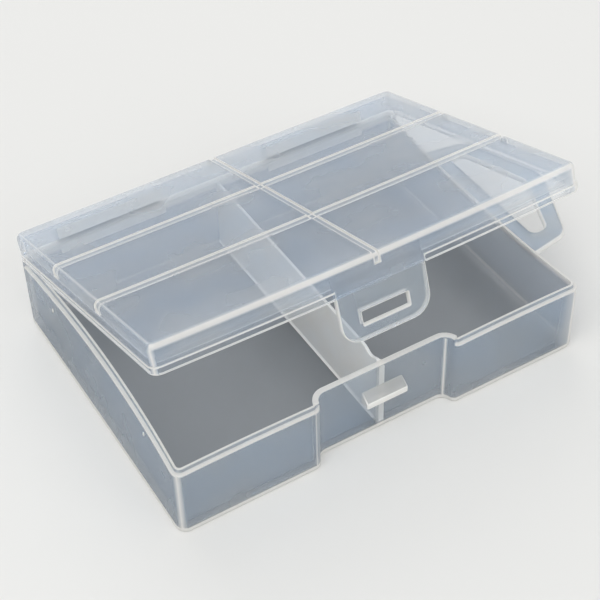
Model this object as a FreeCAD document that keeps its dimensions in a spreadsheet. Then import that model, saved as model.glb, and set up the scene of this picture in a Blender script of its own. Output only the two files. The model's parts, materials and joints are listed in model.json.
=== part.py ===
import FreeCAD, Part
import Sketcher
import math
import os
import re

# Two-compartment battery case in flexible clear polypropylene: a shallow tray with a
# divider and a hanging loop, and a shallow lid on two living hinges, held shut by a
# slotted tab that snaps over a catch in the tray's front recess.
# Frame: +X to the right, +Y to the back, +Z up, millimetres. The origin is the centre
# of the tray's underside. The lid is drawn shut, then placed part open.

OUT = "parts"
TOUCH = 0.01    # how close an edge must be to the place it is picked by

SIZES = [
    # tray
    ("tray_length", 112.4, "outer length of the tray, along X"),
    ("tray_depth", 83.4, "outer depth of the tray, along Y"),
    ("tray_height", 21.6, "underside to rim"),
    ("tray_wall", 1.5, "wall thickness"),
    ("tray_floor", 1.5, "floor thickness"),
    ("corner_radius", 2.5, "upright outer corners of tray and lid"),
    ("base_round", 1.0, "rounding round the underside"),
    ("recess_width", 36.8, "finger recess in the front wall"),
    ("recess_depth", 3.3, "how far the recess is set back"),
    ("recess_outer_round", 1.6, "corner where the front wall turns into the recess"),
    ("recess_inner_round", 0.6, "corner where the recess wall starts"),
    ("inner_round", 0.5, "tray's inside corners beside the recess"),
    # divider
    ("divider_wall", 1.4, "divider thickness"),
    ("dip_depth", 1.0, "dip in the divider's top edge behind the recess"),
    ("dip_length", 6.0, "length of that dip"),
    # joint between tray and lid
    ("tongue_height", 1.6, "thinned rim that the lid's lip goes over"),
    ("lip_wall", 0.7, "lid lip thickness"),
    ("lip_gap", 0.2, "sideways gap between lip and tongue"),
    ("seat_gap", 0.15, "upright gap between lid and tray when shut"),
    ("lip_rise", 0.4, "lip's overlap onto the lid's side wall"),
    # lid
    ("lid_height", 5.7, "top of the shut lid above the tray's rim"),
    ("lid_plate", 1.2, "lid plate thickness"),
    ("lid_wall", 1.3, "lid side wall thickness"),
    ("lid_inset", 0.4, "lid side wall set in from the lip"),
    ("lid_round", 1.5, "rounding round the top of the lid"),
    ("groove_width", 2.4, "shallow grooves across the lid"),
    ("groove_depth", 0.4, "depth of the grooves"),
    ("groove_spread", 26.0, "distance between the two long grooves"),
    ("open_angle", 19.0, "how far open the lid rests"),
    # living hinges
    ("leaf_length", 29.8, "length of each hinge"),
    ("leaf_inset", 25.8, "middle of each hinge from the end of the tray"),
    ("leaf_reach", 1.6, "how far the leaves stand out behind the tray"),
    ("tray_leaf_height", 2.5, "height of the leaf on the tray"),
    ("lid_leaf_height", 3.0, "height of the leaf on the lid"),
    ("leaf_gap", 0.3, "tray's leaf below the hinge line"),
    ("hinge_offset", 0.7, "hinge line behind the ends of the leaves"),
    ("hinge_drop", 0.4, "hinge line below the rim"),
    ("web_radius", 0.45, "rolled web on the hinge line"),
    ("web_neck", 0.4, "web thickness where it leaves the tray's leaf"),
    # latch
    ("tab_width", 23.6, "latch tab across"),
    ("tab_wall", 1.6, "latch tab thickness"),
    ("tab_length", 12.75, "latch tab from its crease to its end"),
    ("tab_gap", 0.1, "crease between the lip and the tab"),
    ("tab_round", 5.0, "lower corners of the tab"),
    ("catch_width", 11.4, "catch across"),
    ("catch_drop", 10.1, "flat underside of the catch below the rim"),
    ("catch_nose", 1.7, "height of the catch's front face"),
    ("catch_ramp", 1.8, "further height of the slope back to the wall"),
    ("catch_engage", 1.4, "how far the nose reaches into the tab's slot"),
    ("slot_side_gap", 0.6, "slot beyond the catch, each side"),
    ("slot_below", 0.5, "slot below the catch"),
    ("slot_above", 1.0, "slot above the catch's front face"),
    # hanging loop
    ("loop_wall", 1.8, "loop thickness"),
    ("loop_drop", 0.2, "loop's top face below the rim's ledge"),
    ("loop_width", 48.8, "loop along the side wall"),
    ("loop_reach", 19.8, "loop's point out from the wall"),
    ("loop_shoulder", 9.9, "reach of the loop's two corners"),
    ("loop_shoulder_inset", 2.0, "how far the corners step in from the ends"),
    ("loop_shift", -1.2, "loop's centre along Y"),
    ("loop_round", 2.5, "outer corners of the loop"),
    ("loop_point_round", 5.0, "outer point of the loop"),
    ("loop_root", 2.6, "strip between the wall and the eye"),
    ("eye_length", 35.6, "eye of the loop, along the side wall"),
    ("eye_shoulder", 6.6, "reach of the eye's two corners from the wall"),
    ("eye_reach", 13.8, "eye's point out from the wall"),
    ("eye_round", 1.2, "corners of the eye"),
]
SHEET_NAMES = [alias for alias, _, _ in SIZES]


# ---------------------------------------------------------------- document and sheet

doc = FreeCAD.newDocument("battery_case")
sheet = doc.addObject("Spreadsheet::Sheet", "sizes")
for row, (alias, value, note) in enumerate(SIZES, start=1):
    sheet.set("A%d" % row, alias)
    sheet.set("B%d" % row, "%g" % value)
    sheet.set("C%d" % row, note)
    sheet.setAlias("B%d" % row, alias)
doc.recompute()

# Sizes worked out from the driving ones, one formula each.
DERIVED = {
    "half_x": "tray_length / 2",
    "half_y": "tray_depth / 2",
    "inner_x": "half_x - tray_wall",
    "inner_y": "half_y - tray_wall",
    "recess_half": "recess_width / 2",
    "recess_face": "recess_depth - half_y",
    "inner_recess_half": "recess_half + tray_wall",
    "inner_recess_face": "recess_face + tray_wall",
    "inner_corner": "corner_radius - tray_wall",
    "inner_turn_in": "recess_inner_round + tray_wall / 2",
    "ledge_height": "tray_height - tongue_height",
    "step_in": "lip_wall + lip_gap",
    "tongue_x": "half_x - step_in",
    "tongue_y": "half_y - step_in",
    "lip_bottom": "ledge_height + seat_gap",
    "skirt_bottom": "tray_height + seat_gap",
    "lip_back": "half_y - corner_radius",
    "lip_inner_x": "half_x - lip_wall",
    "lip_inner_y": "half_y - lip_wall",
    "lid_top": "tray_height + lid_height",
    "lid_x": "half_x - lid_inset",
    "lid_y": "half_y - lid_inset",
    "lid_inner_x": "lid_x - lid_wall",
    "lid_inner_y": "lid_y - lid_wall",
    "lip_end": "lip_back - lip_gap",
    "lid_ceiling": "lid_top - lid_plate",
    "leaf_middle": "half_x - leaf_inset",
    "leaf_end": "half_y + leaf_reach",
    "hinge_back": "leaf_end + hinge_offset",
    "hinge_height": "tray_height - hinge_drop",
    "tray_leaf_top": "hinge_height - leaf_gap",
    "tab_half": "tab_width / 2",
    "tab_top": "lip_bottom - tab_gap",
    "tab_bottom": "tab_top - tab_length",
    "catch_bottom": "tray_height - catch_drop",
    "nose_face": "tab_wall - lid_y - catch_engage",
    "catch_top": "catch_bottom + catch_nose",
    "slot_half": "catch_width / 2 + slot_side_gap",
    "loop_bottom": "ledge_height - loop_drop - loop_wall",
    "loop_front": "loop_shift - loop_width / 2",
    "loop_back": "loop_shift + loop_width / 2",
    "eye_front": "loop_shift - eye_length / 2",
    "eye_back": "loop_shift + eye_length / 2",
    "past_x": "half_x + tray_wall",
    "past_y": "half_y + tray_wall",
}


def cell(formula):
    """A formula in plain size names, written out as an expression on the sheet."""
    words = re.split(r"(\w+)", formula)
    for i, word in enumerate(words):
        if word in DERIVED:
            words[i] = "(" + cell(DERIVED[word]) + ")"
        elif word in SHEET_NAMES:
            words[i] = "sizes." + word
    return "".join(words)


def value_of(formula):
    """What a formula comes to now."""
    return float(sheet.evalExpression(cell(formula).replace("sizes.", "")))


# ---------------------------------------------------------------- drawing helpers

def new_body(name):
    body = doc.addObject("PartDesign::Body", name)
    body.Label = name
    return body


def plane_of(body, role):
    return next(f for f in body.Origin.OriginFeatures if f.Role == role)


def new_sketch(body, name, role, offset):
    """A sketch on one of the body's origin planes, moved out along it by a formula."""
    sketch = body.newObject("Sketcher::SketchObject", name)
    sketch.AttachmentSupport = [(plane_of(body, role), "")]
    sketch.MapMode = "FlatFace"
    sketch.setExpression("AttachmentOffset.Base.z", cell(offset))
    sketch.Visibility = False
    return sketch


def pin_point(sketch, edge, end, x, y):
    """Hold one end or centre of an edge at two formulas from the sketch's origin."""
    for kind, formula in (("DistanceX", x), ("DistanceY", y)):
        rule = sketch.addConstraint(Sketcher.Constraint(kind, -1, 1, edge, end, value_of(formula)))
        sketch.setExpression("Constraints[%d]" % rule, cell(formula))


def moved(corner, near, radius):
    """The point on the side from a square corner towards a near one, a radius along."""
    point = []
    for here, there in zip(corner, near):
        way = value_of(there) - value_of(here)
        sign = " + " if way > 0 else " - "
        point.append(here if abs(way) < TOUCH else here + sign + "(" + radius + ")")
    return tuple(point)


def sides_of(corners):
    """Start, end and radius of each side of an outline; a line's radius is None.

    A corner is a pair of formulas, or three when it is square and rounded."""
    points = []
    for i, corner in enumerate(corners):
        if len(corner) == 2:
            points.append((corner, None))
            continue
        at, radius = corner[:2], corner[2]
        after = corners[(i + 1) % len(corners)]
        points.append((moved(at, corners[i - 1][:2], radius), radius))
        points.append((moved(at, after[:2], radius), None))
    return [(points[i - 1][0], points[i][0], points[i - 1][1]) for i in range(len(points))]


def arc_between(start, end, radius, bulge):
    """The quarter arc from start to end whose middle lies on the bulge's side."""
    middle = (start + end) / 2
    out = (bulge - middle).normalize()
    rise = radius - radius / math.sqrt(2)
    return Part.Arc(start, middle + out * rise, end)


def outline(sketch, corners):
    """A closed outline through corners, fixed by formulas only."""
    sides = sides_of(corners)
    first = sketch.GeometryCount
    ends = []
    for start, end, radius in sides:
        a, b = [FreeCAD.Vector(value_of(x), value_of(y), 0) for x, y in (start, end)]
        if radius is None:
            sketch.addGeometry(Part.LineSegment(a, b), False)
            ends.append((1, 2))
            continue
        square = next(c for c in corners if len(c) == 3 and
                      start in [moved(c[:2], n[:2], c[2]) for n in corners])
        tip = FreeCAD.Vector(value_of(square[0]), value_of(square[1]), 0)
        sketch.addGeometry(arc_between(a, b, value_of(radius), tip), False)
        turns_left = (b - a).cross(tip - a).z < 0
        ends.append((1, 2) if turns_left else (2, 1))
        rule = sketch.addConstraint(
            Sketcher.Constraint("Radius", first + len(ends) - 1, value_of(radius)))
        sketch.setExpression("Constraints[%d]" % rule, cell(radius))
    for i, (start, _, _) in enumerate(sides):
        before = (i - 1) % len(sides)
        sketch.addConstraint(Sketcher.Constraint(
            "Coincident", first + before, ends[before][1], first + i, ends[i][0]))
        pin_point(sketch, first + i, ends[i][0], *start)


def rectangle(x0, x1, y0, y1):
    return [(x0, y0), (x1, y0), (x1, y1), (x0, y1)]


def mirrored(corners):
    return [("-(" + corner[0] + ")",) + corner[1:] for corner in reversed(corners)]


def grow(body, kind, name, sketch, length, symmetric=False, other_way=False):
    """A Pad or Pocket of the sketch whose length is a formula."""
    feature = body.newObject("PartDesign::" + kind, name)
    feature.Profile = sketch
    feature.SideType = "Symmetric" if symmetric else "One side"
    feature.Reversed = other_way
    feature.setExpression("Length", cell(length))
    doc.recompute()
    return feature


def pad_of(body, name, role, offset, loops, length, **way):
    sketch = new_sketch(body, name + "_outline", role, offset)
    for corners in loops:
        outline(sketch, corners)
    return grow(body, "Pad", name, sketch, length, **way)


def pocket_of(body, name, role, offset, loops, length, **way):
    sketch = new_sketch(body, name + "_outline", role, offset)
    for corners in loops:
        outline(sketch, corners)
    before = body.Shape.Volume
    pocket = grow(body, "Pocket", name, sketch, length, **way)
    if not pocket.Shape.Volume < before:
        raise RuntimeError(name + " removes nothing")
    return pocket


def upright_at(points):
    """A test for upright edges that stand on any of the points."""
    places = [(value_of(x), value_of(y)) for x, y in points]

    def wanted(edge):
        ends = [(vertex.X, vertex.Y) for vertex in edge.Vertexes]
        return any(all(math.dist(end, place) < TOUCH for end in ends) for place in places)

    return wanted


def level_at(height):
    """A test for edges that lie flat at a height."""
    level = value_of(height)
    return lambda edge: all(abs(v.Z - level) < TOUCH for v in edge.Vertexes) and (
        abs(edge.BoundBox.ZMax - edge.BoundBox.ZMin) < TOUCH)


def round_edges(body, name, feature, wanted, radius):
    """A Fillet on the edges of the feature that pass the test."""
    picked = ["Edge%d" % i for i, e in enumerate(feature.Shape.Edges, start=1) if wanted(e)]
    fillet = body.newObject("PartDesign::Fillet", name)
    fillet.Base = (feature, picked)
    fillet.setExpression("Radius", cell(radius))
    doc.recompute()
    return fillet


# ---------------------------------------------------------------- the tray and what is on it

def tray_ring(x, y, recess_x, recess_y, corner, turn_out, turn_in):
    """Plan of the tray: a rectangle with the finger recess in its front side."""
    right = [("0", recess_y), (recess_x, recess_y, turn_in), (recess_x, "-" + y, turn_out),
             (x, "-" + y, corner), (x, y, corner), ("0", y)]
    return right + mirrored(right)[1:-1]


def make_base_tray():
    body = new_body("base_tray")
    plan = tray_ring("half_x", "half_y", "recess_half", "recess_face",
                     "corner_radius", "recess_outer_round", "recess_inner_round")
    walls = pad_of(body, "walls", "XY_Plane", "0", [plan], "tray_height")
    round_edges(body, "base_edge", walls, level_at("0"), "base_round")
    plan = tray_ring("inner_x", "inner_y", "inner_recess_half", "inner_recess_face",
                     "inner_corner", "inner_round", "inner_turn_in")
    pocket_of(body, "hollow", "XY_Plane", "tray_floor", [plan], "tray_height", other_way=True)

    # The rim is thinned from outside at the front and both sides, where the lid's lip sits.
    step = [("recess_half", "-past_y"), ("past_x", "-past_y"), ("past_x", "lip_back"),
            ("tongue_x", "lip_back"), ("tongue_x", "-tongue_y", "corner_radius - step_in"),
            ("recess_half", "-tongue_y")]
    pocket_of(body, "rim_step", "XY_Plane", "tray_height", [step, mirrored(step)],
              "tongue_height")
    return body


def make_divider():
    body = new_body("divider")
    profile = [("inner_recess_face", "tray_floor"), ("inner_y", "tray_floor"),
               ("inner_y", "tray_height"), ("inner_recess_face + dip_length", "tray_height"),
               ("inner_recess_face + dip_length / 2", "tray_height - dip_depth"),
               ("inner_recess_face", "tray_height")]
    pad_of(body, "wall", "YZ_Plane", "0", [profile], "divider_wall", symmetric=True)
    return body


def make_latch_catch():
    body = new_body("latch_catch")
    profile = [("recess_face", "catch_bottom"), ("nose_face", "catch_bottom"),
               ("nose_face", "catch_top"), ("recess_face", "catch_top + catch_ramp")]
    pad_of(body, "wedge", "YZ_Plane", "0", [profile], "catch_width", symmetric=True)
    return body


def make_hang_loop():
    body = new_body("hang_loop")
    outer = [("half_x", "loop_front"),
             ("half_x + loop_shoulder", "loop_front + loop_shoulder_inset"),
             ("half_x + loop_reach", "loop_shift"),
             ("half_x + loop_shoulder", "loop_back - loop_shoulder_inset"),
             ("half_x", "loop_back")]
    eye = [("half_x + loop_root", "eye_front"), ("half_x + eye_shoulder", "eye_front"),
           ("half_x + eye_reach", "loop_shift"), ("half_x + eye_shoulder", "eye_back"),
           ("half_x + loop_root", "eye_back")]
    loop = pad_of(body, "plate", "XY_Plane", "loop_bottom", [outer, eye], "loop_wall")
    loop = round_edges(body, "shoulders", loop, upright_at([outer[1], outer[3]]), "loop_round")
    loop = round_edges(body, "point", loop, upright_at([outer[2], eye[2]]), "loop_point_round")
    round_edges(body, "eye_corners", loop, upright_at([eye[0], eye[1], eye[3], eye[4]]), "eye_round")
    return body


def leaf_span(side):
    """The two ends of a hinge along X, for side -1 (left) or 1 (right)."""
    middle = "%d * leaf_middle" % side
    return middle + " - leaf_length / 2", middle + " + leaf_length / 2"


def make_tray_leaf(name, side):
    body = new_body(name)
    plan = rectangle(*leaf_span(side), "half_y", "leaf_end")
    pad_of(body, "leaf", "XY_Plane", "tray_leaf_top", [plan], "tray_leaf_height", other_way=True)
    return body


def make_hinge_web(name, side):
    """The flexing strip between the leaves, rolled up on the hinge line."""
    body = new_body(name)
    middle = "%d * leaf_middle" % side
    roll = new_sketch(body, "roll_outline", "YZ_Plane", middle)
    centre = FreeCAD.Vector(value_of("hinge_back"), value_of("hinge_height"), 0)
    ring = sketch_circle(roll, centre)
    pin_point(roll, ring, 3, "hinge_back", "hinge_height")
    grow(body, "Pad", "roll", roll, "leaf_length", symmetric=True)
    neck = rectangle("leaf_end", "hinge_back", "tray_leaf_top - web_neck", "tray_leaf_top")
    pad_of(body, "neck", "YZ_Plane", middle, [neck], "leaf_length", symmetric=True)
    return body


def sketch_circle(sketch, centre):
    ring = sketch.addGeometry(
        Part.Circle(centre, FreeCAD.Vector(0, 0, 1), value_of("web_radius")), False)
    rule = sketch.addConstraint(Sketcher.Constraint("Radius", ring, value_of("web_radius")))
    sketch.setExpression("Constraints[%d]" % rule, cell("web_radius"))
    return ring


# ---------------------------------------------------------------- the lid and what is on it

def rounded(half_x, half_y, radius):
    return [(a + half_x, b + half_y, radius)
            for a, b in (("-", "-"), ("", "-"), ("", ""), ("-", ""))]


def make_lid():
    body = new_body("lid")
    block = pad_of(body, "block", "XY_Plane", "skirt_bottom",
                   [rounded("lid_x", "lid_y", "corner_radius - lid_inset")],
                   "lid_top - skirt_bottom")
    round_edges(body, "top_edge", block, level_at("lid_top"), "lid_round")

    # The lip stands proud on both sides and along the front as far as the latch tab, and
    # stops short of the back corners. Over the tab the side wall itself comes down instead.
    lip = [("tab_half", "-half_y"), ("half_x", "-half_y", "corner_radius"),
           ("half_x", "lip_end"), ("lip_inner_x", "lip_end"),
           ("lip_inner_x", "-lip_inner_y", "corner_radius - lip_wall"),
           ("tab_half", "-lip_inner_y")]
    pad_of(body, "lip", "XY_Plane", "lip_bottom", [lip, mirrored(lip)],
           "skirt_bottom + lip_rise - lip_bottom")
    root = rectangle("-tab_half", "tab_half", "-lid_y", "-lid_inner_y")
    pad_of(body, "tab_root", "XY_Plane", "lip_bottom", [root], "skirt_bottom - lip_bottom")
    hollow = rounded("lid_inner_x", "lid_inner_y", "corner_radius - lid_inset - lid_wall")
    pocket_of(body, "hollow", "XY_Plane", "skirt_bottom", [hollow],
              "lid_ceiling - skirt_bottom", other_way=True)

    for name, middle in (("front_groove", "-groove_spread / 2"),
                         ("rear_groove", "groove_spread / 2")):
        strip = rectangle("-past_x", "past_x", middle + " - groove_width / 2",
                          middle + " + groove_width / 2")
        pocket_of(body, name, "XY_Plane", "lid_top", [strip], "groove_depth")
    strip = rectangle("-groove_width / 2", "groove_width / 2", "-past_y", "past_y")
    pocket_of(body, "cross_groove", "XY_Plane", "lid_top", [strip], "groove_depth")
    return body


def make_lid_leaf(name, side):
    body = new_body(name)
    plan = rectangle(*leaf_span(side), "lid_y", "leaf_end")
    pad_of(body, "leaf", "XY_Plane", "skirt_bottom", [plan], "lid_leaf_height")
    return body


def make_latch_tab():
    body = new_body("latch_tab")
    face = [("-tab_half", "tab_bottom", "tab_round"), ("tab_half", "tab_bottom", "tab_round"),
            ("tab_half", "tab_top"), ("-tab_half", "tab_top")]
    pad_of(body, "plate", "XZ_Plane", "lid_y", [face], "tab_wall", other_way=True)
    slot = rectangle("-slot_half", "slot_half", "catch_bottom - slot_below",
                     "catch_top + slot_above")
    pocket_of(body, "slot", "XZ_Plane", "lid_y", [slot], "tab_wall")
    return body


def rest_open(body):
    """Turn a body that is drawn shut about the hinge line, to where the lid rests."""
    axis = FreeCAD.Vector(-1, 0, 0)
    body.Placement = FreeCAD.Placement(FreeCAD.Vector(), FreeCAD.Rotation(axis, value_of("open_angle")))
    turn = "open_angle * 1deg"
    body.setExpression("Placement.Rotation.Angle", cell(turn))
    body.setExpression("Placement.Base.y", cell(
        "hinge_back - hinge_back * cos(%s) - hinge_height * sin(%s)" % (turn, turn)))
    body.setExpression("Placement.Base.z", cell(
        "hinge_height + hinge_back * sin(%s) - hinge_height * cos(%s)" % (turn, turn)))


# ---------------------------------------------------------------- build, test, write

SIDES = [("left", -1), ("right", 1)]
pieces = [make_base_tray(), make_divider(), make_latch_catch(), make_hang_loop()]
for word, side in SIDES:
    pieces.append(make_tray_leaf("tray_hinge_leaf_" + word, side))
    pieces.append(make_hinge_web("hinge_web_" + word, side))

lid_pieces = [make_lid(), make_latch_tab()]
for word, side in SIDES:
    lid_pieces.append(make_lid_leaf("lid_hinge_leaf_" + word, side))
for body in lid_pieces:
    rest_open(body)
doc.recompute()

for thing in doc.Objects:
    if "Invalid" in thing.State or "Error" in thing.State:
        raise RuntimeError(thing.Name + " did not build")

os.makedirs(OUT, exist_ok=True)
for body in pieces + lid_pieces:
    if body.Shape.isNull() or not body.Shape.isValid() or len(body.Shape.Solids) != 1:
        raise RuntimeError(body.Label + " is not one sound solid")
    body.Shape.exportStep("%s/%s.step" % (OUT, body.Label))
    box = body.Shape.BoundBox
    print("%-24s %8.0f mm3  x %7.2f %7.2f  y %7.2f %7.2f  z %6.2f %6.2f" % (
        body.Label, body.Shape.Volume, box.XMin, box.XMax, box.YMin, box.YMax, box.ZMin, box.ZMax))
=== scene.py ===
import bpy
import bmesh
import json
import math
from mathutils import Matrix, Quaternion, Vector
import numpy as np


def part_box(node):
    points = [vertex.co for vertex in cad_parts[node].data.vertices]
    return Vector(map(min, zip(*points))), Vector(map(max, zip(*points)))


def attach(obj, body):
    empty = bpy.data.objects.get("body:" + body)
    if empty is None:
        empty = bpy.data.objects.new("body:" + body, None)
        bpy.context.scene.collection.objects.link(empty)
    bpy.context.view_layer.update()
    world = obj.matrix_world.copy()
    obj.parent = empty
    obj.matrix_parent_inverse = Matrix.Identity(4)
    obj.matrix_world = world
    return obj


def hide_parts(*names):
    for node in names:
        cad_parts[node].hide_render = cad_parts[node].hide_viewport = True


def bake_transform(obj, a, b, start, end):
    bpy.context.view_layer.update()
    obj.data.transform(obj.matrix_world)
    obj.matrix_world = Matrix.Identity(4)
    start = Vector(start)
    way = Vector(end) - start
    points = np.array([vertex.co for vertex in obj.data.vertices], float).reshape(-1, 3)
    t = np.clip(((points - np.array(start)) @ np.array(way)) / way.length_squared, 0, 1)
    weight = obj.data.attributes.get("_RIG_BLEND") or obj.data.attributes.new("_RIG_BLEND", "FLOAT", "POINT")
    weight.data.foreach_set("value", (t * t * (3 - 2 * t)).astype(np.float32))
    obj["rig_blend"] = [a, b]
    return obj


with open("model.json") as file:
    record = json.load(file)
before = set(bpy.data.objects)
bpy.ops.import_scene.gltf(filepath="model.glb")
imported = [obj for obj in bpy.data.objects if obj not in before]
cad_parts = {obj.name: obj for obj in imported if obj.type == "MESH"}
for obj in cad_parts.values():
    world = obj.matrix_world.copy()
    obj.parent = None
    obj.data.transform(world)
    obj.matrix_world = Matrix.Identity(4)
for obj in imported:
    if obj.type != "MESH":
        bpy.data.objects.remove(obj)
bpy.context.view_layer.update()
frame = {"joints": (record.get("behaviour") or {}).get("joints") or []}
print("frame loaded")

# All shapes are drawn in millimetres with the lid shut, and are scaled and turned as they are finished.
metre = 0.001
turnSteps = 6        # faces round a corner of a plan
edgeSteps = 3        # faces across a rounded edge
smoothAngle = 35     # degrees, up to which faces shade as one


def boxOf(node):
    low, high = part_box(node)
    return Vector(low) / metre, Vector(high) / metre


trayHigh = boxOf("base_tray")[1]
lidJoint = next(j for j in frame["joints"] if j["name"] == "lid_hinge")
hingePoint = Vector(lidJoint["pos_m"])
openTurn = (Matrix.Translation(hingePoint)
            @ Matrix.Rotation(math.radians(-lidJoint["range_deg"][0]), 4, Vector(lidJoint["axis"]))
            @ Matrix.Translation(-hingePoint))
halfX, halfY, rim = trayHigh.x, trayHigh.y, trayHigh.z


# ---- materials

def toLinear(hexText):
    channels = [int(hexText[i:i + 2], 16) / 255 for i in (1, 3, 5)]
    return [c / 12.92 if c <= 0.04045 else ((c + 0.055) / 1.055) ** 2.4 for c in channels] + [1.0]


def socketOf(node, name):
    return next(s for s in node.inputs if s.name == name and s.enabled)


def addNode(tree, kind, settings=None, links=None):
    node = tree.nodes.new(kind)
    for name, value in (settings or {}).items():
        if hasattr(node, name):
            setattr(node, name, value)
        else:
            socketOf(node, name).default_value = value
    for name, socket in (links or {}).items():
        tree.links.new(socket, socketOf(node, name))
    return node


# Natural polypropylene, injection moulded against a fine matt tool: milky and see-through in its faces,
# blurring what lies behind; painted pale and dense as a highlight wherever the light leaves by an edge.
plastic = {
    # edge and edgeDense: the painted highlight's colour and density, laid on where glow is 1
    "face": "#9cb2c9", "haze": "#aab6c1", "edge": "#f7f5f0",
    "roughness": 0.32, "ior": 1.49,
    "faceDense": 0.33, "edgeDense": 0.92,      # how much of what lies behind a surface hides
    "lipDense": 0.08,                          # where glow is below 0, the thin lip
    "blurred": 0.35,                           # share of the rest that passes scattered
    "mottleSize": 16.0, "mottleDepth": 0.12,   # mm, cloudiness of the melt
    "tintFrom": 0.35, "tintTo": 0.65, "denseFrom": 0.3, "denseTo": 0.7,
    "grainSize": 0.35, "grainHeight": 0.003,   # mm, matt texture of the tool, drawn coarse
}


def frostedPolypropylene(name, changes):
    look = {**plastic, **changes}
    material = bpy.data.materials.new(name)
    material.use_nodes = True
    tree = material.node_tree
    tree.nodes.clear()
    where = addNode(tree, "ShaderNodeTexCoord").outputs["Object"]
    glow = addNode(tree, "ShaderNodeAttribute", {"attribute_name": "glow"}).outputs["Fac"]
    cloud = addNode(tree, "ShaderNodeTexNoise", {"Scale": 1 / (look["mottleSize"] * metre), "Detail": 2.0},
                    {"Vector": where}).outputs["Fac"]
    hazy = addNode(tree, "ShaderNodeMapRange", {"From Min": look["tintFrom"], "From Max": look["tintTo"]},
                   {"Value": cloud})
    tint = addNode(tree, "ShaderNodeMix", {"data_type": "RGBA", "A": toLinear(look["face"]),
                                           "B": toLinear(look["haze"])}, {"Factor": hazy.outputs["Result"]})
    dense = addNode(tree, "ShaderNodeMapRange",
                    {"From Min": look["denseFrom"], "From Max": look["denseTo"],
                     "To Min": look["faceDense"], "To Max": look["faceDense"] * (1 + look["mottleDepth"])},
                    {"Value": cloud})
    colour, density = tint.outputs["Result"], dense.outputs["Result"]
    if "farSideShade" in look:    # painted shade: the tray's right and back walls, seen from inside, are painted a darker blue and made denser
        zone = addNode(tree, "ShaderNodeAttribute", {"attribute_name": "zone"}).outputs["Fac"]
        far = addNode(tree, "ShaderNodeMapRange", {"From Min": 1.0, "From Max": 2.0},
                      {"Value": zone}).outputs["Result"]
        colour = addNode(tree, "ShaderNodeMix", {"data_type": "RGBA", "B": toLinear(look["farSideShade"])},
                         {"A": colour, "Factor": far}).outputs["Result"]
        density = addNode(tree, "ShaderNodeMix", {"data_type": "FLOAT", "B": look["farSideShadeDense"]},
                          {"A": density, "Factor": far}).outputs["Result"]
    if "floor" in look:      # painted shade: the tray's floor, below 1.7 to 2.3 mm, is painted grey and made denser, for the shade of what it stands in
        height = addNode(tree, "ShaderNodeSeparateXYZ", {}, {"Vector": where}).outputs["Z"]
        low = addNode(tree, "ShaderNodeMapRange",
                      {"From Min": look["floorFrom"] * metre, "From Max": look["floorTo"] * metre},
                      {"Value": height}).outputs["Result"]
        colour = addNode(tree, "ShaderNodeMix", {"data_type": "RGBA", "B": toLinear(look["floor"])},
                         {"A": colour, "Factor": low}).outputs["Result"]
        density = addNode(tree, "ShaderNodeMix", {"data_type": "FLOAT", "B": look["floorDense"]},
                          {"A": density, "Factor": low}).outputs["Result"]
    # painted highlight: where glow is 1 the colour turns to the pale edge colour and the plastic dense
    colour = addNode(tree, "ShaderNodeMix", {"data_type": "RGBA", "B": toLinear(look["edge"])},
                     {"A": colour, "Factor": glow}).outputs["Result"]
    density = addNode(tree, "ShaderNodeMix", {"data_type": "FLOAT", "B": look["edgeDense"]},
                      {"A": density, "Factor": glow}).outputs["Result"]
    thin = addNode(tree, "ShaderNodeMapRange", {"From Min": 0.0, "From Max": -1.0}, {"Value": glow})
    density = addNode(tree, "ShaderNodeMix", {"data_type": "FLOAT", "B": look["lipDense"]},
                      {"A": density, "Factor": thin.outputs["Result"]}).outputs["Result"]
    grain = addNode(tree, "ShaderNodeTexNoise", {"Scale": 1 / (look["grainSize"] * metre), "Detail": 1.0},
                    {"Vector": where}).outputs["Fac"]
    bump = addNode(tree, "ShaderNodeBump", {"Distance": look["grainHeight"] * metre, "Strength": 1.0},
                   {"Height": grain})
    shader = addNode(tree, "ShaderNodeBsdfPrincipled",
                     {"Roughness": look["roughness"], "IOR": look["ior"],
                      "Transmission Weight": look["blurred"]},
                     {"Base Color": colour, "Alpha": density, "Normal": bump.outputs["Normal"]})
    addNode(tree, "ShaderNodeOutputMaterial", {}, {"Surface": shader.outputs["BSDF"]})
    return material


# painted shade on the tray: its floor grey and denser, its right and back walls a darker blue and denser
clearTray = frostedPolypropylene("frostedPolypropyleneTray",
                                 {"floor": "#a0a5aa", "floorDense": 0.55, "floorFrom": 2.3, "floorTo": 1.7,
                                  "farSideShade": "#8798ac", "farSideShadeDense": 0.48})
# painted light: the lid is the same plastic as the tray, painted lighter, the lid as lit from above and the
# tray as in shade
clearLid = frostedPolypropylene("frostedPolypropyleneLid",
                                {"face": "#bccfe5", "haze": "#c8d3df", "faceDense": 0.29})
# the divider is denser plastic; its near-white colour is partly painted light, lifting it against the shade
# it stands in under the lid
denseRib = frostedPolypropylene("frostedPolypropyleneDivider",
                                {"face": "#f6f4ef", "haze": "#eef0f0", "faceDense": 0.85, "blurred": 0.0})
clearTab = frostedPolypropylene("frostedPolypropyleneTab",
                                {"face": "#b4c3d2", "haze": "#bcc6cd", "faceDense": 0.33})
clearLoop = frostedPolypropylene("frostedPolypropyleneLoop", {"faceDense": 0.5})
whitened = frostedPolypropylene("whitenedPolypropyleneHinge",
                                {"face": "#f8f7f3", "haze": "#eef0ef", "faceDense": 0.92, "blurred": 0.0})
paleCatch = frostedPolypropylene("polypropyleneCatch",
                                 {"face": "#eeece6", "haze": "#e6e4de", "faceDense": 0.3, "blurred": 0.2})
print("materials made")


# ---- finishing a mesh

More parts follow.
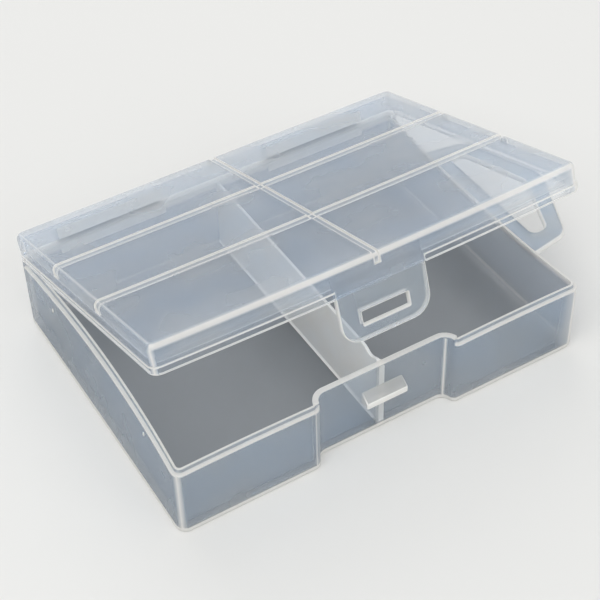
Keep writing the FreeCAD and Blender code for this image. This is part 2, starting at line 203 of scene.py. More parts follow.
def finishPiece(bm, name, body, material, replaces, lid=False):
    # turns the bmesh into a named piece, with a painted highlight (glow) where its faces have material 1,
    # that rides on its body if any
    glow = bm.verts.layers.float.get("glow") or bm.verts.layers.float.new("glow")
    for v in bm.verts:
        if v.link_faces and all(f.material_index == 1 for f in v.link_faces):
            v[glow] = 1.0
    for f in bm.faces:
        f.material_index = 0
        f.smooth = True
    bmesh.ops.recalc_face_normals(bm, faces=bm.faces)
    place = (openTurn if lid else Matrix()) @ Matrix.Scale(metre, 4)
    bmesh.ops.transform(bm, matrix=place, verts=bm.verts)
    mesh = bpy.data.meshes.new(name)
    bm.to_mesh(mesh)
    bm.free()
    mesh.set_sharp_from_angle(angle=math.radians(smoothAngle))
    piece = bpy.data.objects.new(name, mesh)
    bpy.context.scene.collection.objects.link(piece)
    mesh.materials.append(material)
    if body:
        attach(piece, body)
    for node in replaces:
        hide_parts(node)
    return piece


def glowEdges(bm, edges, width):
    # rounds edges and paints the rounding pale as a highlight
    bmesh.ops.bevel(bm, geom=edges, offset=width, offset_type="OFFSET", affect="EDGES", segments=edgeSteps,
                    profile=0.5, material=1, clamp_overlap=True)


def sharpEdges(bm, angle, test=None):
    bm.normal_update()
    return [e for e in bm.edges if len(e.link_faces) == 2 and e.calc_face_angle() > math.radians(angle)
            and (test is None or test(e))]


def cutAcross(bm, at, way):
    bmesh.ops.bisect_plane(bm, geom=list(bm.verts) + list(bm.edges) + list(bm.faces), dist=0.0005,
                           plane_co=at, plane_no=way)


def thicken(bm, faces, way):
    # extrudes flat faces into a solid, of which they stay one side
    grown = bmesh.ops.extrude_face_region(bm, geom=faces, use_keep_orig=True)["geom"]
    bmesh.ops.translate(bm, verts=[g for g in grown if isinstance(g, bmesh.types.BMVert)], vec=way)


# ---- walls swept round a plan

def planLoop(corners, longest, zoneOf, lineOf):
    # a closed run of edges through corners of (x, y, reach), where reach is how far a corner's rounding
    # takes up its edges; each point keeps its plan, its outward way, its zone and its line
    bm = bmesh.new()
    plan = bm.verts.layers.float_vector.new("plan")
    outward = bm.verts.layers.float_vector.new("outward")
    zone = bm.verts.layers.int.new("zone")
    line = bm.verts.layers.float.new("line")
    most = bm.verts.layers.float.new("most")         # how far in a point may go before its turn closes up
    bm.verts.layers.float.new("glow")
    turns = [bm.verts.new((x, y, 0)) for x, y, reach in corners]
    bm.faces.new(turns)
    for turn in turns:
        turn[most] = halfX
    ways = [(turns[i].co - turns[i - 1].co).normalized() for i in range(len(turns))]
    for i, (x, y, reach) in enumerate(corners):
        if reach:
            before, after = ways[i], ways[(i + 1) % len(ways)]
            radius = reach / math.tan(before.angle(after) / 2)
            arc = bmesh.ops.bevel(bm, geom=[turns[i]], offset=reach, affect="VERTICES", segments=turnSteps,
                                  profile=0.5, material=-1)["verts"]
            for v in arc:
                v[most] = radius if before.cross(after).z > 0 else halfX
    for edge in list(bm.edges):
        cuts = math.ceil(edge.calc_length() / longest) - 1
        if cuts > 0:
            bmesh.ops.subdivide_edges(bm, edges=[edge], cuts=cuts)
    bm.faces.ensure_lookup_table()
    face = bm.faces[0]
    for loop in face.loops:
        here = loop.vert.co
        before = here - loop.link_loop_prev.vert.co
        after = loop.link_loop_next.vert.co - here
        outBefore = Vector((before.y, -before.x, 0)).normalized()
        outAfter = Vector((after.y, -after.x, 0)).normalized()
        loop.vert[plan] = here
        loop.vert[outward] = (outBefore + outAfter) / (1 + outBefore.dot(outAfter))
        loop.vert[zone] = zoneOf(here.x, here.y)
        loop.vert[line] = lineOf(here.x, here.y)
    bmesh.ops.delete(bm, geom=[face], context="FACES_ONLY")
    return bm


def sweepRows(bm, profiles):
    # profiles[zone] lists (out, z, glow, upright): one row of points each, joined up by faces
    plan = bm.verts.layers.float_vector["plan"]
    outward = bm.verts.layers.float_vector["outward"]
    zone = bm.verts.layers.int["zone"]
    line = bm.verts.layers.float["line"]
    most = bm.verts.layers.float["most"]
    glow = bm.verts.layers.float["glow"]
    verts, edges = list(bm.verts), list(bm.edges)
    first = edges
    for row in range(len(profiles[0])):
        if row:
            grown = bmesh.ops.extrude_edge_only(bm, edges=edges)["geom"]
            verts = [g for g in grown if isinstance(g, bmesh.types.BMVert)]
            edges = [g for g in grown if isinstance(g, bmesh.types.BMEdge)]
        for v in verts:
            out, z, pale, upright = profiles[v[zone]][row]
            v.co = v[plan] + v[outward] * max(out, -v[most])
            v.co.z = z
            v[glow] = max(pale, v[line] * upright) if v[line] or pale > 0 else pale
    for ring in (first, edges):
        bmesh.ops.contextual_create(bm, geom=ring)


def arcRows(centre, radius, start, end, steps, pale):
    # rows on an arc of the profile, with a painted highlight between its ends
    rows = []
    for i in range(steps + 1):
        angle = math.radians(start + (end - start) * i / steps)
        rows.append((centre[0] + radius * math.cos(angle), centre[1] + radius * math.sin(angle),
                     pale if 0 < i < steps else 0.0, 0.0))
    return rows


# ---- tray

tray = {
    "wall": 1.5, "floor": 1.5, "corner": 2.5, "baseRound": 0.7, "floorRound": 0.8,
    "recessHalf": 18.4, "recessDepth": 3.3, "slant": 0.44, "turnOut": 1.25, "turnIn": 2.05,
    "ledgeIn": 0.9, "ledgeDown": 1.6, "ledgeBack": 39.2, "tongueDown": 0.6,
    # farPale: how much of the painted highlight along the base is left on the right and back walls
    "sideBow": 2.1, "sideReach": 4.0, "frontBow": 0.25, "frontReach": 2.5, "longest": 4.0, "farPale": 0.4,
    "pips": [(24.9, 15.9), (-24.3, 17.4)], "pipRadius": 0.45, "pipShape": (0.5, 0.8, 1.5),
}
cornerPale = {"middle": 45, "spread": 22, "frontSpread": 50, "sideSpread": 25}     # degrees round a corner, for the painted highlight lines
recessPale = {           # mm behind the front face and before the recess's own, and how strong their painted highlight is
    "outTo": 1.4, "outFirst": 0.02, "outLast": 0.85, "outPale": 0.85, "outBetween": 0.3,
    "inFrom": 0.9, "inTo": 0.45, "inPale": 1.0,
}
recessFace = tray["recessDepth"] - halfY
ledge = rim - tray["ledgeDown"]


def trayZone(x, y):
    # 0 in the recess, 1 where the rim is stepped for the lid's lip, 2 the same on the right, 3 at the back
    if y > tray["ledgeBack"] - 0.05:
        return 3
    if abs(x) < tray["recessHalf"] + 0.3 and y < 0:
        return 0
    return 2 if x > halfX - 1 else 1


def cornerLine(x, y):
    # a painted highlight: the pale upright line on each rounded corner, widest on the front right one
    toSide = abs(x) - halfX + tray["corner"]
    toEnd = abs(y) - halfY + tray["corner"]
    if toSide < 0 or toEnd < 0:
        return 0.0
    angle = math.degrees(math.atan2(toSide, toEnd)) - cornerPale["middle"]
    if x > 0 and y < 0:
        spread = cornerPale["frontSpread" if angle < 0 else "sideSpread"]
        return max(0.0, min(1.0, 2 - 2 * (angle / spread) ** 2))
    return max(0.0, 1 - (angle / cornerPale["spread"]) ** 2)


def trayLine(x, y):
    # painted highlights: pale upright lines where the light leaves, on the four corners and two of the
    # recess's turns
    corner = cornerLine(x, y)
    if corner:
        return corner
    behind, before = y + halfY, recessFace - y
    atMouth = abs(x + tray["recessHalf"] + tray["slant"]) < tray["turnOut"] + 0.05
    if x < 0 and atMouth and behind < recessPale["outTo"]:
        atEnd = behind < recessPale["outFirst"] or behind > recessPale["outLast"]
        return recessPale["outPale" if atEnd else "outBetween"]
    atDeep = abs(x - tray["recessHalf"] + 0.3) < 1.0
    if x > 0 and atDeep and recessPale["inTo"] < before < recessPale["inFrom"]:
        return recessPale["inPale"]
    return 0.0


def trayBow(co):
    # the thin walls sag inwards along their unsupported rims
    up = max(0.0, co.z / rim)
    if abs(co.x) > halfX - tray["sideReach"]:
        co.x -= math.copysign(tray["sideBow"] * max(0.0, 1 - (co.y / halfY) ** 2) * up, co.x)
    if co.y < -halfY + tray["frontReach"] and abs(co.x) > tray["recessHalf"]:
        middle = (tray["recessHalf"] + halfX) / 2
        reach = (halfX - tray["recessHalf"]) / 2
        co.y += tray["frontBow"] * max(0.0, 1 - ((abs(co.x) - middle) / reach) ** 2) * up


def makeTray():
    w, s, r, corner = tray["wall"], tray["ledgeIn"], tray["floorRound"], tray["corner"]
    mouth, deep = tray["recessHalf"] + tray["slant"], tray["recessHalf"] - tray["slant"]
    out, into, back = tray["turnOut"], tray["turnIn"], tray["ledgeBack"] - 0.2
    corners = [(halfX, back, 0), (halfX, halfY, corner), (-halfX, halfY, corner), (-halfX, back, 0),
               (-halfX, -halfY, corner), (-mouth - out - 0.35, -halfY, 0), (-mouth, -halfY, out),
               (-deep, recessFace, into), (deep, recessFace, into), (mouth, -halfY, out),
               (halfX, -halfY, corner)]
    bm = planLoop(corners, tray["longest"], trayZone, trayLine)
    # the rows' glow paints highlights along the base, the rim, the ledge and the tongue
    base = arcRows((-tray["baseRound"], tray["baseRound"]), tray["baseRound"], -90, 0, 4, 1.0)[:-1]
    base += [(0, 0.8, 1, 0), (0, 1.4, 1, 0), (0, 1.8, 0, 1)]
    farBase = [(out, z, pale * tray["farPale"], upright) for out, z, pale, upright in base]
    tongue = rim - tray["tongueDown"]
    step = [(0, ledge - 0.7, 0, 1), (0, ledge - 0.3, 1, 1), (-0.12, ledge - 0.05, 1, 1), (-0.3, ledge, 1, 0),
            (-s + 0.12, ledge, 0.9, 0), (-s, ledge + 0.08, 0.3, 0), (-s, tongue - 0.2, 0.2, 0),
            (-s - 0.05, tongue - 0.04, 1, 0), (-s - 0.15, tongue, 1, 0), (-w + 0.15, tongue, 1, 0),
            (-w + 0.04, tongue - 0.05, 1, 0)]
    plain = [(0, ledge - 0.7, 0, 1), (0, ledge - 0.25, 0, 1), (0, ledge, 0, 1), (0, ledge + 0.3, 0, 1),
             (0, ledge + 0.6, 0, 1), (0, ledge + 0.9, 0, 1), (0, rim - 0.4, 0, 0),
             (-0.06, rim - 0.08, 1, 0), (-0.25, rim, 1, 0), (-w + 0.2, rim, 1, 0),
             (-w + 0.05, rim - 0.07, 1, 0)]
    crisp = [(-w, tongue - 0.3, 0, 0), (-w, tongue - 0.8, 0, 0.8), (-w, tongue - 1.6, 0, 0.8)]
    soft = [(-w, tongue - 0.4, 1, 0), (-w, tongue - 1.1, 0.7, 0.8), (-w, tongue - 1.9, 0, 0.8)]
    inner = [(-w, tray["floor"] + r + 0.3, 0, 0.8)]
    floor = arcRows((-w - r, tray["floor"] + r), r, 0, -90, 3, 0.1)
    sweepRows(bm, [base + plain + crisp + inner + floor, base + step + crisp + inner + floor,
                   farBase + step + soft + inner + floor, farBase + plain + soft + inner + floor])
    for v in bm.verts:
        trayBow(v.co)
    for y, z in tray["pips"]:        # two small moulding pips on the left wall, painted pale as highlights
        pip = bmesh.ops.create_icosphere(bm, subdivisions=2, radius=tray["pipRadius"])["verts"]
        bmesh.ops.scale(bm, verts=pip, vec=tray["pipShape"])
        out = -halfX + tray["sideBow"] * (1 - (y / halfY) ** 2) * z / rim
        bmesh.ops.translate(bm, verts=pip, vec=(out, y, z))
        for face in {f for v in pip for f in v.link_faces}:
            face.material_index = 1
    return finishPiece(bm, "trayShell", "tray", clearTray, ["base_tray"])


makeTray()
print("tray made")


# ---- divider

divider = {
    "wall": 1.4, "topWall": 0.8, "rise": 0.15, "dip": 1.1, "dipFrom": 6.4, "dipSteps": 9, "sink": 0.05,
    "foot": 0.5, "topRound": 0.2,
    "end": 0.15, "endLow": 0.6, "endDown": 1.0, "endFoot": 0.15, "endHalf": 0.72,      # in the recess wall
}


def makeDivider():
    front = recessFace + tray["wall"]
    back = halfY - tray["wall"]
    sink = divider["sink"]
    low = tray["floor"] - sink
    top, shoulder = rim + divider["rise"], rim - 0.1
    end = recessFace + divider["end"]        # its front end shows through the recess wall, down to the base
    profile = [(end, divider["endLow"]), (front - sink, divider["endFoot"]), (front - sink, low),
               (back + sink, low), (back + sink, shoulder), (back - 0.6, top),
               (front + divider["dipFrom"], top)]
    for i in range(1, divider["dipSteps"]):        # the shallow dip behind the recess
        t = i / divider["dipSteps"]
        profile.append((front + divider["dipFrom"] * (1 - t),
                        top - divider["dip"] * math.sin(math.pi * t) ** 2))
    profile += [(front - sink, shoulder), (end, rim - divider["endDown"])]
    bm = bmesh.new()
    side = -divider["wall"] / 2
    face = bm.faces.new([bm.verts.new((side, y, z)) for y, z in profile])
    thicken(bm, [face], (divider["wall"], 0, 0))
    along = sharpEdges(bm, 50, lambda e: all(v.co.z > rim - 3 for v in e.verts)
                       and all(front < v.co.y < back for v in e.verts))
    glowEdges(bm, along, divider["topRound"])
    cutAcross(bm, Vector((0, 0, tray["floor"] + divider["foot"])), Vector((0, 0, 1)))
    cutAcross(bm, Vector((0, front + divider["foot"], 0)), Vector((0, 1, 0)))
    glow = bm.verts.layers.float.new("glow")
    for v in bm.verts:       # drafted towards the top, a small fillet along its foot, and the foot and front end painted pale as highlights
        v.co.x *= 1 - (1 - divider["topWall"] / divider["wall"]) * v.co.z / rim
        if v.co.y < front:
            v.co.x = math.copysign(divider["endHalf"], v.co.x)
        elif v.co.z < tray["floor"]:
            v.co.x += math.copysign(divider["foot"], v.co.x)
        if v.co.z < tray["floor"] or v.co.y < front:
            v[glow] = 1.0
    return finishPiece(bm, "dividerWall", "tray", denseRib, ["divider"])


makeDivider()


# ---- catch

catch = {"nose": 1.7, "sink": 0.05, "edgeRound": 0.4}


def makeCatch():
    low, high = boxOf("latch_catch")
    root = high.y + catch["sink"]
    bm = bmesh.new()
    profile = [(root, low.z), (low.y, low.z), (low.y, low.z + catch["nose"]), (root, high.z)]
    face = bm.faces.new([bm.verts.new((low.x, y, z)) for y, z in profile])
    thicken(bm, [face], (high.x - low.x, 0, 0))
    glowEdges(bm, sharpEdges(bm, 25, lambda e: any(v.co.y < high.y for v in e.verts)), catch["edgeRound"])
    glow = bm.verts.layers.float.new("glow")
    for v in bm.verts:       # its nose is painted pale as a highlight
        if v.co.y < low.y + 0.1:
            v[glow] = 1.0
    return finishPiece(bm, "catchWedge", "tray", paleCatch, ["latch_catch"])


makeCatch()
print("divider and catch made")


# ---- flat plates with an opening: the hanging loop and the latch tab

def roundedRing(bm, corners):
    # a closed run of edges with rounded corners, from (x, y, reach)
    turns = [bm.verts.new((x, y, 0)) for x, y, reach in corners]
    bm.faces.new(turns)
    for turn, (x, y, reach) in zip(turns, corners):
        if reach:
            bmesh.ops.bevel(bm, geom=[turn], offset=reach, affect="VERTICES", segments=turnSteps,
                            profile=0.5, material=-1)


def plateWithOpening(outer, opening, thickness, edgeRound):
    bm = bmesh.new()
    roundedRing(bm, outer)
    roundedRing(bm, opening)
    bmesh.ops.delete(bm, geom=list(bm.faces), context="FACES_ONLY")
    bmesh.ops.triangle_fill(bm, edges=list(bm.edges), use_beauty=True, normal=(0, 0, 1))
    thicken(bm, list(bm.faces), (0, 0, thickness))
    glowEdges(bm, sharpEdges(bm, 60), edgeRound)
    # painted highlight on the plate's edge faces
    for f in bm.faces:
        if abs(f.normal.z) < 0.3:
            f.material_index = 1
    return bm


loop = {"shoulder": 9.9, "shoulderIn": 2.0, "root": 2.6, "eyeHalf": 17.8, "eyeShoulder": 6.6,
        "eyePoint": 13.8, "outerRound": 2.5, "eyeRound": 1.4, "pointRound": 3.2, "edgeRound": 0.75,
        "pointCut": 0.45, "sink": 2.2}


def makeLoop():
    low, high = boxOf("hang_loop")
    middle = (low.y + high.y) / 2
    reach = high.x - low.x + loop["pointCut"]        # to the point before it is rounded
    wall = halfX - loop["sink"]                      # into the wall where it bows inwards
    shoulder, shoulderIn = halfX + loop["shoulder"], loop["shoulderIn"]
    outer = [(wall, low.y, 0), (shoulder, low.y + shoulderIn, loop["outerRound"]),
             (halfX + reach, middle, loop["pointRound"]),
             (shoulder, high.y - shoulderIn, loop["outerRound"]), (wall, high.y, 0)]
    root, eyeHalf, eyeRound = halfX + loop["root"], loop["eyeHalf"], loop["eyeRound"]
    eye = [(root, middle - eyeHalf, eyeRound), (halfX + loop["eyeShoulder"], middle - eyeHalf, eyeRound),
           (halfX + loop["eyePoint"], middle, eyeRound),
           (halfX + loop["eyeShoulder"], middle + eyeHalf, eyeRound), (root, middle + eyeHalf, eyeRound)]
    bm = plateWithOpening(outer, eye, high.z - low.z, loop["edgeRound"])
    bmesh.ops.translate(bm, verts=bm.verts, vec=(0, 0, low.z))
    return finishPiece(bm, "hangLoopPlate", "tray", clearLoop, ["hang_loop"])


makeLoop()
print("hanging loop made")


# ---- lid

lid = {
    "top": 27.3, "plate": 1.2, "wall": 1.3, "inset": 0.4, "round": 1.5, "corner": 2.5, "ceilingRound": 0.5,
    "lipBottom": 20.15, "lipTop": 22.1, "lipWall": 0.7, "skirtBottom": 21.75, "skirtFront": 22.45,
    "grooveHalf": 1.2, "crossHalf": 0.8, "grooveDepth": 0.4, "grooveAt": 13.0, "grooveEnd": 24.5,
    "lineWidth": 0.26, "grooveBottomHighlight": 0.3, "tabHalf": 11.8, "tabLine": 0.35, "sag": 0.8,
    "sagPower": 1.5, "outerWide": 1.2, "outerHigh": 0.9, "longest": 5.0, "cutX": 7.0, "cutY": 13.7,
}


def lidZone(x, y):
    # 0 at the back, 1 along the sides, 2 along the front, 3 over the latch tab
    if y > tray["ledgeBack"] - 0.25:
        return 0
    if y > -halfY + 0.8:
        return 1
    return 3 if abs(x) < lid["tabHalf"] + 0.05 else 2


def lidLine(x, y):
    # painted highlights: pale upright lines on the corners and where the latch tab's edges run up the lip
    atTab = y < 1 - halfY and abs(abs(x) - lid["tabHalf"]) < 0.01
    return 1.0 if atTab else cornerLine(x, y)


def lidRows():
    # what each zone's section shares, then its outer face down to the lip, its lip, and its inside
    inset, r, top, low, lip = lid["inset"], lid["round"], lid["top"], lid["lipBottom"], lid["lipTop"]
    skirt, front, lipIn = lid["skirtBottom"], lid["skirtFront"], -lid["lipWall"]
    inner, ceiling = -lid["inset"] - lid["wall"], top - lid["plate"]
    arc = arcRows((-inset - r, top - r), r, 90, 0, 5, 0.0)
    # painted highlight along the crown: faint at the back, more on the sides, a bright band along the front;
    # the lip and ceiling rows carry it too
    crown, side, bright = [
        [(out, z, pale, upright) for (out, z, _, _), pale, upright in zip(arc, pales, (0, 0, 0, 0, 0.5, 1))]
        for pales in ((0, 0.2, 0, 0, 0, 0), (0, 0.6, 0, 0, 0, 0), (0, 0.3, 1, 1, 0.9, -0.4))]
    overTab = [(out, z, pale, 0) for out, z, pale, _ in bright]
    stepped = [(-inset, lip + 0.3, -0.4, 1), (-inset, lip + 0.04, 0.4, 1), (-0.15, lip - 0.02, 1, 0),
               (-0.03, lip - 0.2, 1, 0), (-0.03, lip - 0.45, -1, 1), (-0.03, low + 0.45, -1, 1),
               (-0.03, low + 0.2, 1, 0), (-0.2, low, 1, 0),
               (lipIn + 0.15, low, 1, 0), (lipIn, low + 0.15, 1, 0), (lipIn, low + 0.45, -1, 0),
               (lipIn, front, -0.5, 0), (inner + 0.2, front, 0.5, 0), (inner, front + 0.2, 0.3, 0)]
    rear = [(-inset, lip + 0.3, 0, 1), (-inset, lip + 0.2, 0, 1), (-inset, lip + 0.1, 0, 0),
            (-inset, lip, 0, 0), (-inset, lip - 0.06, 0, 0), (-inset, lip - 0.12, 0, 0),
            (-inset, skirt + 0.15, 1, 0),
            (-inset - 0.15, skirt, 1, 0), (-inset - 0.4, skirt, 1, 0), (-inset - 0.6, skirt, 0.6, 0),
            (-inset - 0.8, skirt, 0.6, 0), (-inset - 1.0, skirt, 0.6, 0), (inner + 0.2, skirt, 0.6, 0),
            (inner, skirt + 0.2, 0.3, 0)]
    flush = [(-inset, lip + 0.3, -0.4, 0), (-inset, lip, 0, 1), (-inset, lip - 0.3, 0, 1),
             (-inset, lip - 0.6, 0, 1), (-inset, lip - 0.9, 0, 1), (-inset, low + 0.45, 0, 1),
             (-inset, low + 0.1, 0.1, 1),
             (-inset - 0.1, low, 0.1, 0), (-inset - 0.4, low, 0, 0), (-inset - 0.7, low, 0, 0),
             (-inset - 1.0, low, 0, 0), (inner + 0.1, low, 0.1, 0), (inner, low + 0.2, 0, 0),
             (inner, front + 0.2, 0, 0)]
    c = lid["ceilingRound"]
    hollow = arcRows((inner - c, ceiling - c), c, 0, 90, 3, 0.5)
    faint = arcRows((inner - c, ceiling - c), c, 0, 90, 3, 0.2)
    return [crown + rear + faint, side + stepped + hollow, bright + stepped + faint, overTab + flush + faint]


def makeGrooves(bm):
    fine, glow = lid["lineWidth"], bm.verts.layers.float["glow"]
    along, across = Vector((0, 1, 0)), Vector((1, 0, 0))
    grooves = [(along, lid["grooveAt"], lid["grooveHalf"]), (along, -lid["grooveAt"], lid["grooveHalf"]),
               (across, 0.0, lid["crossHalf"])]
    for way, middle, half in grooves:
        for step in (-2, -1, 0, 1):
            for side in (-1, 1):
                cutAcross(bm, way * (middle + side * (half + step * fine)), way)
    for z in (lid["grooveEnd"], lid["grooveEnd"] - fine):
        cutAcross(bm, Vector((0, 0, z)), Vector((0, 0, 1)))
    bm.normal_update()

    def isOuter(face):
        centre = face.calc_center_median()
        wide = abs(centre.x) > halfX - lid["outerWide"] or abs(centre.y) > halfY - lid["outerWide"]
        return centre.z > lid["grooveEnd"] and (wide or centre.z > lid["top"] - lid["outerHigh"])

    def haze(co):
        # the painted highlight of the groove a point is in: its two edges most, its bottom a little
        most = 0.0
        for way, middle, half in grooves:
            inside = half - abs(co.dot(way) - middle)
            if inside > -0.01:
                most = max(most, 1.0 if inside < fine + 0.01 or co.z < lid["grooveEnd"] + 0.01
                           else lid["grooveBottomHighlight"])
        return most

    def inGroove(point):
        return any(abs(point.dot(way) - middle) < half for way, middle, half in grooves)

    for v in bm.verts:
        if v.co.z > lid["grooveEnd"] - 0.01 and any(isOuter(f) for f in v.link_faces):
            v[glow] = max(v[glow], haze(v.co))
    sunk = [f for f in bm.faces if isOuter(f) and inGroove(f.calc_center_median())]
    grown = bmesh.ops.extrude_face_region(bm, geom=sunk)["geom"]
    bmesh.ops.delete(bm, geom=sunk, context="FACES")      # the extrude leaves them behind
    bm.normal_update()
    for g in grown:
        if isinstance(g, bmesh.types.BMVert):
            g.co -= g.normal * lid["grooveDepth"]


def lidSag(co):
    # the front edge hangs a little between its corners
    share = max(0.0, (halfY - co.y) / (2 * halfY)) ** lid["sagPower"]
    co.z -= lid["sag"] * max(0.0, 1 - (co.x / halfX) ** 2) * share


def makeLid():
    back, tabHalf, line, corner = tray["ledgeBack"] - 0.2, lid["tabHalf"], lid["tabLine"], lid["corner"]
    corners = [(halfX, back - 0.1, 0), (halfX, back, 0), (halfX, halfY, corner),
               (-halfX, halfY, corner), (-halfX, back, 0), (-halfX, back - 0.1, 0), (-halfX, -halfY, corner),
               (-tabHalf - 0.1, -halfY, 0), (-tabHalf, -halfY, 0), (-tabHalf + line, -halfY, 0),
               (tabHalf - line, -halfY, 0), (tabHalf, -halfY, 0), (tabHalf + 0.1, -halfY, 0),
               (halfX, -halfY, corner)]
    bm = planLoop(corners, lid["longest"], lidZone, lidLine)
    sweepRows(bm, lidRows())
    bmesh.ops.recalc_face_normals(bm, faces=bm.faces)
    makeGrooves(bm)
    for i in range(-7, 8):       # short faces that can follow the sag
        if i:
            cutAcross(bm, Vector((i * lid["cutX"], 0, 0)), Vector((1, 0, 0)))
    for i in range(-2, 3):
        cutAcross(bm, Vector((0, i * lid["cutY"], 0)), Vector((0, 1, 0)))
    for v in bm.verts:
        lidSag(v.co)
    return finishPiece(bm, "lidShell", "lid", clearLid, ["lid"], lid=True)


makeLid()
print("lid made")


# ---- latch tab

tab = {"bottom": 7.6, "top": 20.14, "thick": 1.6, "round": 5.0, "edgeRound": 0.45,
       "slotHalf": 6.1, "slotBottom": 11.4, "slotTop": 14.75, "slotRound": 0.15, "crease": 0.6}


def makeTab():
    half = lid["tabHalf"]
    outer = [(-half, tab["bottom"], tab["round"]), (half, tab["bottom"], tab["round"]),
             (half, tab["top"], 0), (-half, tab["top"], 0)]
    slotHalf, low, high, r = tab["slotHalf"], tab["slotBottom"], tab["slotTop"], tab["slotRound"]
    slot = [(-slotHalf, low, r), (slotHalf, low, r), (slotHalf, high, r), (-slotHalf, high, r)]
    bm = plateWithOpening(outer, slot, tab["thick"], tab["edgeRound"])
    front = -halfY + lid["inset"]
    stand = Matrix.Translation((0, front, 0)) @ Matrix.Rotation(math.radians(90), 4, "X")
    bmesh.ops.transform(bm, matrix=stand, verts=bm.verts)
    bmesh.ops.translate(bm, verts=bm.verts, vec=(0, tab["thick"], 0))
    for f in bm.faces:       # its crease under the lip gets no painted highlight
        centre = f.calc_center_median()
        if centre.z > tab["top"] - tab["crease"] and abs(centre.x) < half - tab["crease"]:
            f.material_index = 0
    for v in bm.verts:
        lidSag(v.co)
    return finishPiece(bm, "latchTabPlate", "latch", clearTab, ["latch_tab"], lid=True)


makeTab()
print("latch tab made")


# ---- living hinges

hinge = {
    "length": 29.8, "middle": 30.4, "reach": 1.6, "edgeRound": 0.4,
    "trayLeaf": (18.4, 20.9), "trayRoot": 1.58, "lidLeaf": (21.75, 24.75), "lidRoot": 1.78,
    "webHalf": 14.7, "webBack": 1.5, "webLow": 20.75, "webHigh": 21.9, "webThick": 0.35,
    "webOut": 0.75, "webUp": 0.05, "webSteps": 8,
}


def makeLeaf(node, name, body, onLid):
    # drawn in its place with the lid shut; its root shows through the wall it grows from
    middle = hinge["middle"] * (-1 if name.endswith("Left") else 1)
    bottom, top = hinge["lidLeaf" if onLid else "trayLeaf"]
    front = halfY - hinge["lidRoot" if onLid else "trayRoot"]
    size = (hinge["length"], halfY + hinge["reach"] - front, top - bottom)
    bm = bmesh.new()
    bmesh.ops.create_cube(bm, size=1.0)
    bmesh.ops.scale(bm, verts=bm.verts, vec=size)
    bmesh.ops.translate(bm, verts=bm.verts, vec=(middle, front + size[1] / 2, bottom + size[2] / 2))
    glowEdges(bm, sharpEdges(bm, 60, lambda e: any(v.co.y > halfY for v in e.verts)), hinge["edgeRound"])
    return finishPiece(bm, name, body, whitened, [node], lid=onLid)


def makeWeb(node, name, side):
    # a thin strip that bows out from the tray's leaf to the lid's
    start = Vector((0, halfY + hinge["webBack"], hinge["webLow"]))
    end = openTurn @ (Vector((0, halfY + hinge["webBack"], hinge["webHigh"])) * metre) / metre
    bm = bmesh.new()
    path = []
    for i in range(hinge["webSteps"] + 1):
        t = i / hinge["webSteps"]
        bulge = Vector((0, hinge["webOut"], hinge["webUp"])) * math.sin(math.pi * t)
        path.append(start.lerp(end, t) + bulge)
    left, right = side * hinge["middle"] - hinge["webHalf"], side * hinge["middle"] + hinge["webHalf"]
    ends = [bm.verts.new((x, path[0].y, path[0].z)) for x in (left, right)]
    edge = [bm.edges.new(ends)]
    for point, before in zip(path[1:], path):
        grown = bmesh.ops.extrude_edge_only(bm, edges=edge)["geom"]
        edge = [g for g in grown if isinstance(g, bmesh.types.BMEdge)]
        bmesh.ops.translate(bm, verts=[g for g in grown if isinstance(g, bmesh.types.BMVert)],
                            vec=point - before)
    bmesh.ops.recalc_face_normals(bm, faces=bm.faces)
    bmesh.ops.solidify(bm, geom=list(bm.faces), thickness=hinge["webThick"])
    piece = finishPiece(bm, name, None, whitened, [node])
    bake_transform(piece, "tray", "lid", start=path[1] * metre, end=path[-2] * metre)
    return piece


for side, word in ((-1, "Left"), (1, "Right")):
    lower = word.lower()
    makeLeaf("tray_hinge_leaf_" + lower, "trayHingeLeaf" + word, "tray", False)
    makeLeaf("lid_hinge_leaf_" + lower, "lidHingeLeaf" + word, "lid", True)
    makeWeb("hinge_web_" + lower, "hingeWeb" + word, side)
print("hinges made")


# ---- camera, floor and light

studio = {
    "camera": (-0.1356, -0.2357, 0.2726), "view": (0.37006, 0.61979, -0.69204),
    "roll": -1.254, "lens": 89.86, "sensor": 36.0, "shiftX": -0.02477, "shiftY": -0.00477, "nearest": 0.01,
    "floor": "#e4e4e2", "floorRoughness": 0.9, "floorShine": 0.1, "floorSize": 60.0, "floorDrop": 0.0001,
    "world": "#ffffff", "worldStrength": 0.55,
    "lampSize": 2.7,
    "lamps": [("keyLamp", (-1.5, -1.05, 2.7), 54.0), ("fillLamp", (0.9, -2.85, 1.5), 21.0),
              ("backLamp", (0.6, 2.7, 2.4), 31.5)],
}


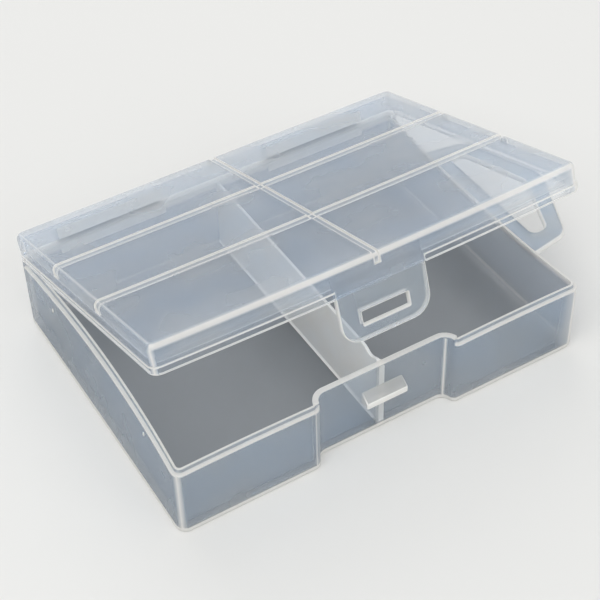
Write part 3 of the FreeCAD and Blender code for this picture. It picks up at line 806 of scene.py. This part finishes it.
def makeStudio():
    scene = bpy.context.scene
    scene.view_settings.view_transform = "Standard"
    camera = bpy.data.objects.new("camera", bpy.data.cameras.new("camera"))
    scene.collection.objects.link(camera)
    camera.data.sensor_width = studio["sensor"]
    camera.data.lens = studio["lens"]
    camera.data.shift_x = studio["shiftX"]
    camera.data.shift_y = studio["shiftY"]
    camera.data.clip_start = studio["nearest"]
    camera.location = studio["camera"]
    camera.rotation_mode = "QUATERNION"
    camera.rotation_quaternion = (Vector(studio["view"]).to_track_quat("-Z", "Y")
                                  @ Quaternion((0, 0, 1), math.radians(studio["roll"])))
    scene.camera = camera

    bm = bmesh.new()
    bmesh.ops.create_grid(bm, x_segments=1, y_segments=1, size=studio["floorSize"] / 2)
    mesh = bpy.data.meshes.new("floor")
    bm.to_mesh(mesh)
    bm.free()
    floor = bpy.data.objects.new("floor", mesh)
    scene.collection.objects.link(floor)
    floor.location.z = -studio["floorDrop"]
    paint = bpy.data.materials.new("palePaper")
    paint.use_nodes = True
    tree = paint.node_tree
    tree.nodes.clear()
    shader = addNode(tree, "ShaderNodeBsdfPrincipled",
                     {"Base Color": toLinear(studio["floor"]), "Roughness": studio["floorRoughness"],
                      "Specular IOR Level": studio["floorShine"]})
    addNode(tree, "ShaderNodeOutputMaterial", {}, {"Surface": shader.outputs["BSDF"]})
    mesh.materials.append(paint)

    world = bpy.data.worlds.new("softRoom")
    world.use_nodes = True
    tree = world.node_tree
    tree.nodes.clear()
    sky = addNode(tree, "ShaderNodeBackground",
                  {"Color": toLinear(studio["world"]), "Strength": studio["worldStrength"]})
    addNode(tree, "ShaderNodeOutputWorld", {}, {"Surface": sky.outputs["Background"]})
    scene.world = world

    for name, place, power in studio["lamps"]:
        lamp = bpy.data.objects.new(name, bpy.data.lights.new(name, "AREA"))
        scene.collection.objects.link(lamp)
        lamp.data.size = studio["lampSize"]
        lamp.data.energy = power
        lamp.location = place
        lamp.rotation_mode = "QUATERNION"
        lamp.rotation_quaternion = (-Vector(place)).to_track_quat("-Z", "Y")


makeStudio()
print("studio made")
